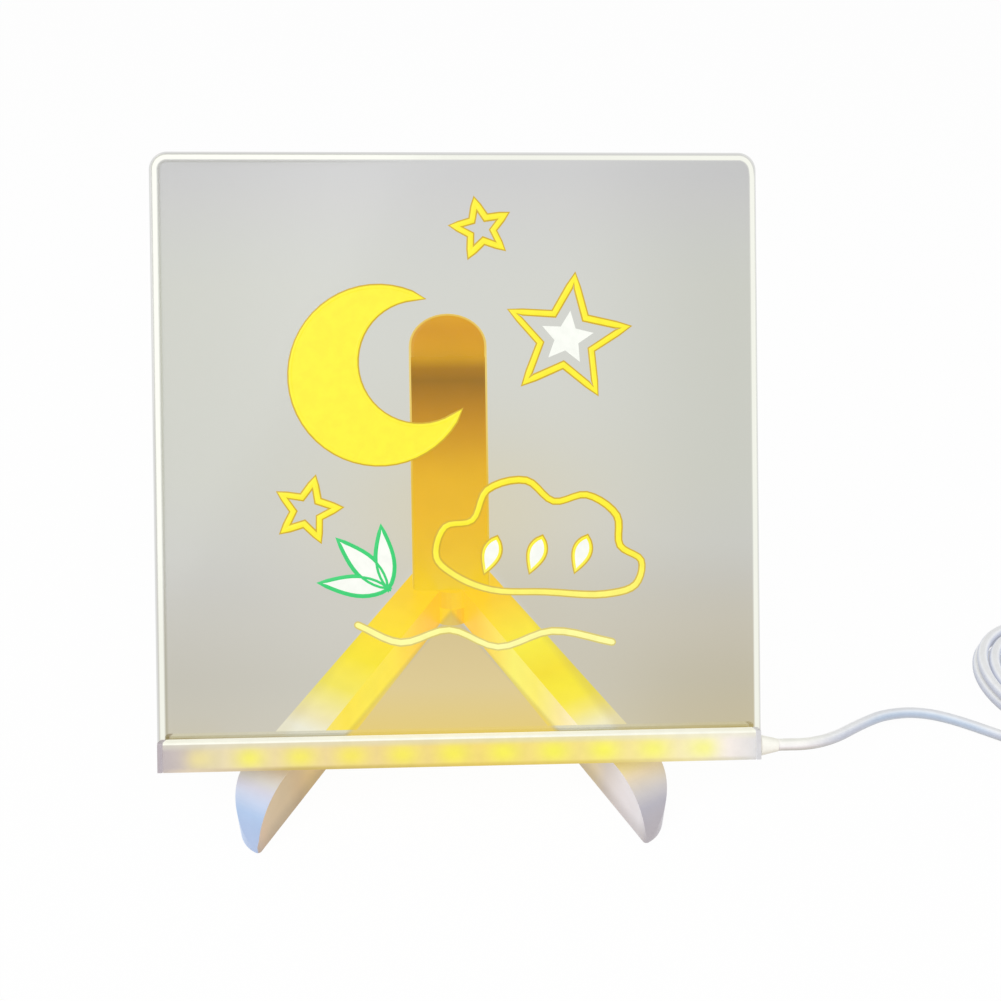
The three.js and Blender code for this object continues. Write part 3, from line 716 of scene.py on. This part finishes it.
def dress_nodes():
    left_foot, right_foot = (LEFT_FOOT_TOP, LEFT_FOOT_INNER), (RIGHT_FOOT_TOP, RIGHT_FOOT_INNER)
    dress(acrylic(), "writing_sheet")
    dress(bar_plastic(), "light_bar_housing")
    # Both caps are one plastic; the left one is painted darker, the shade on that end of the bar
    dress(cap_plastic("left_cap_plastic", (180, 171, 176), 1), "left_end_cap")
    dress(cap_plastic("right_cap_plastic", (215, 214, 216), -1), "right_end_cap")
    dress(gland_plastic(), "cable_gland")
    dress(post_plastic(), "stand_post")
    dress(leg_plastic("left_leg_plastic", 1, (LEFT_TOP, LEFT_INNER), left_foot), "left_leg")
    dress(leg_plastic("right_leg_plastic", -1, (RIGHT_TOP, RIGHT_INNER), right_foot), "right_leg")
    dress(plain_plastic("board_resin", (236, 236, 228), 0.45), "led_circuit_board")
    dress(led_resin(), *[f"led_{number:02d}" for number in range(1, 12)])
    resistors = [f"resistor_{number}" for number in range(1, 5)]
    dress(plain_plastic("resistor_ceramic", (34, 34, 36), 0.5), *resistors)
    dress(plain_plastic("red_wire", (190, 30, 28), 0.4), "supply_lead_positive")
    dress(plain_plastic("black_wire", (30, 30, 32), 0.4), "supply_lead_negative")
    dress(brushed_metal("steel", (196, 198, 202)), "pivot_screw", "pivot_washer", "usb_plug_shell")
    dress(plain_plastic("plug_plastic", (232, 232, 236), 0.42), "usb_plug_body")
    dress(plain_plastic("tongue_plastic", (34, 34, 36), 0.45), "usb_plug_tongue")


# Lines and meshes

def between_knots(first, second, start, end, at):
    return first.lerp(second, (at - start) / (end - start))


def smooth_line(points, parts):
    """Points on one smooth curve through the given ones."""
    given = [Vector(p) for p in points]
    given = [2 * given[0] - given[1]] + given + [2 * given[-1] - given[-2]]
    line = []
    for group in zip(given, given[1:], given[2:], given[3:]):
        knots = [0.0]
        for start, end in zip(group, group[1:]):
            knots.append(knots[-1] + (end - start).length ** 0.5)
        for part in range(parts):
            at = knots[1] + (knots[2] - knots[1]) * part / parts
            first = [between_knots(*group[n:n + 2], knots[n], knots[n + 1], at) for n in range(3)]
            second = [between_knots(*first[n:n + 2], knots[n], knots[n + 2], at) for n in range(2)]
            line.append(between_knots(*second, knots[1], knots[2], at))
    line.append(given[-2])
    return line


def mesh_object(name, vertices, faces, material, smooth=True):
    mesh = bpy.data.meshes.new(name)
    mesh.from_pydata([tuple(v) for v in vertices], [], faces)
    mesh.update()
    for polygon in mesh.polygons:
        polygon.use_smooth = smooth
    mesh.materials.append(material)
    made = bpy.data.objects.new(name, mesh)
    bpy.context.collection.objects.link(made)
    return made


def tube(name, line, radius, sides, material):
    """A round tube along the line, whose rings turn with it and never twist."""
    vertices, faces = [], []
    ahead = (line[1] - line[0]).normalized()
    beside = ahead.cross(UP).normalized()
    for place, point in enumerate(line):
        before, after = line[max(place - 1, 0)], line[min(place + 1, len(line) - 1)]
        ahead = (after - before).normalized()
        beside = (beside - ahead * beside.dot(ahead)).normalized()
        above = ahead.cross(beside)
        for side in range(sides):
            angle = 2 * math.pi * side / sides
            vertices.append(point + radius * (math.cos(angle) * beside + math.sin(angle) * above))
    for ring in range(len(line) - 1):
        for side in range(sides):
            low, following = ring * sides + side, ring * sides + (side + 1) % sides
            faces.append((low, following, following + sides, low + sides))
    faces.append(tuple(reversed(range(sides))))
    faces.append(tuple(range(len(vertices) - sides, len(vertices))))
    return mesh_object(name, vertices, faces, material)


# Cord, with its route in millimetres across, behind the bar's resting edge and above the table

CORD_DIAMETER = 0.004
CORD_SIDES = 14
CORD_PARTS = 3
CORD_REST = 2.1
CORD_ROUTE = [
    (104.6, -7.3, 28.2), (108.4, -7.3, 28.2), (112.6, -6.6, 27.4), (117.7, -4.3, 25.3), (123.4, -0.8, 22.5),
    (129.0, 3.3, 19.6), (133.9, 7.6, 16.6), (138.9, 12.2, 13.6), (143.8, 16.5, 10.8), (149.5, 20.9, 8.2),
    (155.4, 24.7, 6.0), (162.2, 27.6, 4.1), (169.2, 29.0, 2.9), (176.6, 28.5, 2.2), (183.4, 26.1, 2.1),
    (189.6, 22.9, 2.1), (195.4, 19.5, 2.1), (201.5, 16.0, 2.1), (207.7, 12.9, 2.1), (214.4, 10.5, 2.1),
    (221.2, 8.9, 2.1), (228.2, 8.3, 2.1), (234.8, 9.1, 2.1), (240.6, 11.2, 2.1), (244.9, 14.1, 2.1),
    (248.1, 17.0, 2.1),
]
# The route's point from which the cord lies on the table
TAIL_ROUTE = [
    (256.2, 22.8, 6.6), (259.3, 25.4, 6.6), (266.2, 31.2, 5.9), (273.5, 37.7, 4.3), (280.2, 45.0, 2.9),
    (285.6, 53.2, 2.2), (289.2, 62.4, 2.1), (290.8, 72.3, 2.3), (291.2, 82.3, 3.2), (291.2, 89.8, 3.9),
    (291.2, 93.8, 4.0), (291.2, 97.8, 4.0),
]
COIL_CENTRE = (231.5, 43.5)
UPPER_COIL_SHIFT = (1.5, 0.3)
COIL_RADIUS = 31
COIL_PITCH = 4.5
COIL_TURNS = 3
COIL_START = math.radians(-50)
COIL_STEPS = 24
COIL_CLIMB = 0.5


def coil_points():
    """The lower layer inwards, a short climb and the upper layer outwards."""
    points = []
    for step in range(2 * COIL_TURNS * COIL_STEPS + 1):
        turn = step / COIL_STEPS
        angle = COIL_START + 2 * math.pi * turn
        radius = COIL_RADIUS - COIL_PITCH * COIL_TURNS + COIL_PITCH * abs(turn - COIL_TURNS)
        part = min(max((turn - COIL_TURNS + COIL_CLIMB / 2) / COIL_CLIMB, 0), 1)
        share = part * part * (3 - 2 * part)
        x = COIL_CENTRE[0] + UPPER_COIL_SHIFT[0] * share + radius * math.cos(angle)
        y = COIL_CENTRE[1] + UPPER_COIL_SHIFT[1] * share + radius * math.sin(angle)
        points.append((x, y, CORD_REST + COIL_PITCH * share))
    return points


def in_frame(x, y, z):
    return Vector((x, y - DEPTH_SHIFT, z)) * MM


def make_cord():
    points = CORD_ROUTE + coil_points() + TAIL_ROUTE
    line = [in_frame(*point) for point in smooth_line(points, CORD_PARTS)]
    cord = tube("supply_cord", line, CORD_DIAMETER / 2, CORD_SIDES, cord_plastic())
    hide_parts("power_cord", "cord_coil", "cord_tail")
    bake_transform(cord)


# Strokes and patches of ink on the sheet

INK_LIFT = 0.04
STROKE_LIFT = 0.1
INK_HEIGHT = 0.14
INK_PLAIN, INK_BRIGHT = 0.15, 0.85
NEAR_BAR = (25, 75)
# The stroke's section: shares of its half width and of its height
STROKE_SECTION = ((-1, 0), (-0.72, 0.8), (0, 1), (0.72, 0.8), (1, 0))
STROKE_END_TURNS = [math.radians(turn) for turn in (35, 65, 85)]
STROKE_WAVE, STROKE_WAVE_STEP = 0.06, 0.35
SHARPEST_CORNER = 0.6
NO_LENGTH = 1e-9


def unit(vector):
    return vector / np.linalg.norm(vector)


def leftward(ahead):
    return np.array([-ahead[1], ahead[0]])


def section(middle, side, half):
    return [(middle + side * half * share, rise) for share, rise in STROKE_SECTION]


def stroke_row(points, place, width, closed):
    """The stroke's section at one point, as wide as its corner there needs."""
    count = len(points)
    before = points[(place - 1) % count] if closed or place else points[place]
    after = points[(place + 1) % count] if closed or place < count - 1 else points[place]
    steps = (points[place] - before, after - points[place])
    units = [unit(step) for step in steps if np.linalg.norm(step) > NO_LENGTH]
    ahead = unit(sum(units))
    spread = 1 / max(float(units[0] @ ahead), SHARPEST_CORNER)
    wave = 1 + STROKE_WAVE * math.sin(place * STROKE_WAVE_STEP)
    return section(points[place], leftward(ahead), width / 2 * spread * wave)


def stroke_end(points, end, neighbour, width):
    """Narrowing sections that round off an open stroke's end, from the line outwards."""
    ahead = unit(points[end] - points[neighbour])
    side = leftward(ahead) if end else -leftward(ahead)
    rows = []
    for turn in STROKE_END_TURNS:
        middle = points[end] + ahead * (width / 2 * math.sin(turn))
        rows.append(section(middle, side, width / 2 * math.cos(turn)))
    return rows


def ribbon(name, line, width, closed, lift, material):
    """A flat marker stroke on the sheet's front face along a line of (across, along) points."""
    points = [np.array(p, float) for p in line]
    rows = [stroke_row(points, place, width, closed) for place in range(len(points))]
    if not closed:
        rows = stroke_end(points, 0, 1, width)[::-1] + rows + stroke_end(points, -1, -2, width)
    vertices, faces = [], []
    for row in rows:
        for (across, along), rise in row:
            vertices.append(on_board(across, SHEET_FRONT - lift - INK_HEIGHT * rise, along))
    wide = len(STROKE_SECTION)
    for row in range(len(rows) if closed else len(rows) - 1):
        near, far = row * wide, (row + 1) % len(rows) * wide
        for column in range(wide - 1):
            faces.append((near + column, near + column + 1, far + column + 1, far + column))
    return mesh_object(name, vertices, faces, material)


def outline_curve(name, line):
    curve = bpy.data.curves.new(name, "CURVE")
    curve.dimensions = "2D"
    curve.fill_mode = "BOTH"
    curve.extrude = INK_HEIGHT / 2 * MM
    spline = curve.splines.new("POLY")
    spline.points.add(len(line) - 1)
    spline.use_cyclic_u = True
    for place, (across, along) in enumerate(line):
        spline.points[place].co = (across * MM, along * MM, 0, 1)
    return curve


def filled(name, line, lift, material):
    """A flat patch of ink inside a closed line of (across, along) points."""
    curve = outline_curve(name, line)
    made = bpy.data.objects.new(name + "_outline", curve)
    bpy.context.collection.objects.link(made)
    bpy.context.view_layer.update()
    mesh = bpy.data.meshes.new_from_object(made.evaluated_get(bpy.context.evaluated_depsgraph_get()))
    bpy.data.objects.remove(made)
    bpy.data.curves.remove(curve)
    axes = Matrix((tuple(RIGHT), tuple(ALONG), tuple(FRONT))).transposed().to_4x4()
    mesh.transform(Matrix.Translation(on_board(0, SHEET_FRONT - lift - INK_HEIGHT / 2, 0)) @ axes)
    mesh.materials.clear()
    mesh.materials.append(material)
    mesh.name = name
    patch = bpy.data.objects.new(name, mesh)
    bpy.context.collection.objects.link(patch)
    return patch


def ink(name, colour, pale, share=1.0):
    """Marker ink that the sheet lights from below: paler and whiter near the bar."""
    paint = Paint(name)
    near = paint.fall(paint.along(), *NEAR_BAR)
    shade = paint.mottled(paint.mix(near, tone(*colour), tone(*pale)), 300, 0.97, 1.02)
    paint.glow(shade, INK_PLAIN, share * INK_BRIGHT)
    paint.give({"Roughness": 0.5})
    return paint.material


# Outlines of the drawing, in millimetres across and along the sheet

LINE_PARTS = 5


def flowing(points):
    """An open smooth line through the points."""
    return [(p.x, p.y) for p in smooth_line([(x, y, 0) for x, y in points], LINE_PARTS)]


def rounded(points):
    """A closed smooth line through the points."""
    line = flowing([points[-1]] + points + [points[0], points[1]])
    return line[LINE_PARTS:-1 - LINE_PARTS]


def star_line(middle, outer, inner, turn):
    """A star of five points between an outer and an inner radius."""
    corners, side_parts = 10, 4
    points = []
    for place in range(corners):
        radius = inner if place % 2 else outer
        angle = math.radians(turn + 360 / corners * place)
        points.append(np.array(middle, float) + radius * np.array([math.sin(angle), math.cos(angle)]))
    line = []
    for start, end in zip(points, points[1:] + points[:1]):
        line += [tuple(start + (end - start) * part / side_parts) for part in range(side_parts)]
    return line


def crescent_line(middle, radius, shift, inner, turn):
    """A moon's outline between an outer circle and an inner one moved to its side."""
    outer_parts, inner_parts = 40, 30
    cut = (radius ** 2 + shift ** 2 - inner ** 2) / (2 * shift)
    outer_half = math.acos(cut / radius)
    inner_half = math.acos((cut - shift) / inner)
    points = []
    for part in range(outer_parts + 1):
        angle = outer_half + (2 * math.pi - 2 * outer_half) * part / outer_parts
        points.append((radius * math.cos(angle), radius * math.sin(angle)))
    for part in range(1, inner_parts):
        angle = 2 * math.pi - inner_half - (2 * math.pi - 2 * inner_half) * part / inner_parts
        points.append((shift + inner * math.cos(angle), inner * math.sin(angle)))
    cosine, sine = math.cos(math.radians(turn)), math.sin(math.radians(turn))
    return [(middle[0] + x * cosine - y * sine, middle[1] + x * sine + y * cosine) for x, y in points]


def leaf_line(base, tip, width):
    """A leaf from its base to its tip and back, widest nearer to the base."""
    steps, fullness = 12, 0.8
    base, tip = np.array(base, float), np.array(tip, float)
    side = leftward(unit(tip - base))

    def point(share, half):
        return tuple(base + (tip - base) * share + side * half * math.sin(math.pi * share ** fullness))

    left = [point(share, width) for share in np.linspace(0, 1, steps)]
    right = [point(share, -width) for share in np.linspace(1, 0, steps)[1:-1]]
    return left + right


CLOUD = [
    (-2, 62), (-8, 68), (-5, 78), (4, 80), (9, 90), (22, 93), (31, 86), (42, 88), (52, 81), (53, 71),
    (60, 66), (58, 58), (48, 55), (28, 56), (10, 57),
]
GROUND = [(-34, 46), (-20, 40), (-4, 44), (12, 38), (30, 43), (50, 39)]
# The middle, the outer and inner radius and the turn in degrees of each star
BIG_STAR, BIG_STAR_FILL = ((36, 140), 20, 9, 8), ((36, 140), 9, 4.2, 8)
SMALL_STAR, LOW_STAR = ((8, 176), 9, 4, -12), ((-50, 84), 10, 4.6, 14)
# The middle and radius of the moon, the shift and radius of its hollow, and its turn in degrees
MOON = ((-26, 128), 29, 14, 21, 18)
DROPS, DROP_TOP, DROP_FOOT, DROP_SWAY, DROP_WIDTH = (12, 27, 42), 74, 63, 4, 2.6
LEAF_BASE = (-24, 58)
LEAVES = [((-40, 74), 3.4), ((-46, 60), 3.0), ((-26, 78), 2.8)]
WIDE, MEDIUM, FINE = 1.7, 1.2, 0.9
BORDER = 0.9


def make_drawing():
    yellow = ink("yellow_ink", (250, 238, 34), (252, 250, 176))
    edge = ink("ink_edge", (214, 176, 20), (226, 214, 130), 0.9)
    white = ink("white_ink", (246, 248, 240), (246, 248, 240))
    green = ink("green_ink", (40, 205, 110), (60, 210, 120))
    pieces = []

    def stroke(name, line, closed=True, width=WIDE, colour=yellow):
        border = edge if colour is yellow else colour
        pieces.append(ribbon(name + "_edge", line, width + BORDER, closed, INK_LIFT, border))
        pieces.append(ribbon(name, line, width, closed, INK_LIFT + STROKE_LIFT, colour))

    def patch(name, line, colour=white):
        pieces.append(filled(name, line, INK_LIFT, colour))

    moon = crescent_line(*MOON)
    patch("moon_fill", moon, yellow)
    stroke("moon_stroke", moon, True, MEDIUM)
    stroke("cloud_stroke", rounded(CLOUD))
    stroke("big_star_stroke", star_line(*BIG_STAR))
    patch("big_star_fill", star_line(*BIG_STAR_FILL))
    stroke("small_star_stroke", star_line(*SMALL_STAR))
    stroke("low_star_stroke", star_line(*LOW_STAR))
    for place, across in enumerate(DROPS):
        drop = leaf_line((across, DROP_TOP), (across - DROP_SWAY, DROP_FOOT), DROP_WIDTH)
        patch(f"drop_fill_{place}", drop)
        stroke(f"drop_stroke_{place}", drop, True, FINE)
    stroke("ground_line", flowing(GROUND), False)
    for place, (tip, width) in enumerate(LEAVES):
        leaf = leaf_line(LEAF_BASE, tip, width)
        patch(f"leaf_fill_{place}", leaf)
        stroke(f"leaf_stroke_{place}", leaf, True, FINE, green)
    for piece in pieces:
        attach(piece, "sheet")


# Floor, light and world

FLOOR_HALF = 4
FLOOR_DROP = 0.0002
FLOOR_WHITE = 0.965
WORLD_STRENGTH = 0.5
LAMP_AIM = Vector((0, 0, 0.08))
LAMP_SIZE = 1.2
LAMPS = [("key_lamp", (-0.7, -0.8, 1.3), 14), ("fill_lamp", (0.9, -0.5, 1.1), 4)]


def white_to_camera(tree, plain, white, share, output):
    """A share of plain white over the plain shader, for what the camera, reflections and clear pieces see."""
    nodes, links = tree.nodes, tree.links
    path = nodes.new("ShaderNodeLightPath")
    seen = path.outputs["Is Camera Ray"]
    for name in ("Is Glossy Ray", "Is Transmission Ray"):
        either = nodes.new("ShaderNodeMath")
        either.operation = "MAXIMUM"
        links.new(seen, either.inputs[0])
        links.new(path.outputs[name], either.inputs[1])
        seen = either.outputs[0]
    part = nodes.new("ShaderNodeMath")
    part.operation = "MULTIPLY"
    links.new(seen, part.inputs[0])
    part.inputs[1].default_value = share
    mix = nodes.new("ShaderNodeMixShader")
    for place, result in enumerate((part.outputs[0], plain.outputs[0], white.outputs[0])):
        links.new(result, mix.inputs[place])
    links.new(mix.outputs[0], nodes[output].inputs["Surface"])


def make_floor():
    material = bpy.data.materials.new("pale_floor")
    material.use_nodes = True
    tree = material.node_tree
    shader = tree.nodes["Principled BSDF"]
    shader.inputs["Base Color"].default_value = (0.9, 0.9, 0.9, 1)
    shader.inputs["Roughness"].default_value = 0.9
    shader.inputs["Specular IOR Level"].default_value = 0.1
    white_to_camera(tree, shader, tree.nodes.new("ShaderNodeEmission"), FLOOR_WHITE, "Material Output")
    corners = [(-1, -1), (1, -1), (1, 1), (-1, 1)]
    vertices = [(FLOOR_HALF * x, FLOOR_HALF * y, 0) for x, y in corners]
    floor = mesh_object("floor", vertices, [(0, 1, 2, 3)], material, False)
    floor.location.z = -FLOOR_DROP


def make_world():
    world = bpy.data.worlds.new("studio")
    bpy.context.scene.world = world
    world.use_nodes = True
    tree = world.node_tree
    soft = tree.nodes["Background"]
    soft.inputs["Color"].default_value = (1, 1, 1, 1)
    soft.inputs["Strength"].default_value = WORLD_STRENGTH
    white_to_camera(tree, soft, tree.nodes.new("ShaderNodeBackground"), 1.0, "World Output")


def make_lamp(name, place, energy):
    data = bpy.data.lights.new(name, "AREA")
    data.shape = "SQUARE"
    data.size = LAMP_SIZE
    data.energy = energy
    lamp = bpy.data.objects.new(name, data)
    lamp.location = place
    lamp.rotation_euler = (LAMP_AIM - Vector(place)).to_track_quat("-Z", "Y").to_euler()
    bpy.context.collection.objects.link(lamp)


make_camera()
make_cord()
dress_nodes()
make_drawing()
make_floor()
make_world()
for lamp in LAMPS:
    make_lamp(*lamp)
bpy.context.scene.view_settings.view_transform = "Standard"

bpy.context.view_layer.update()
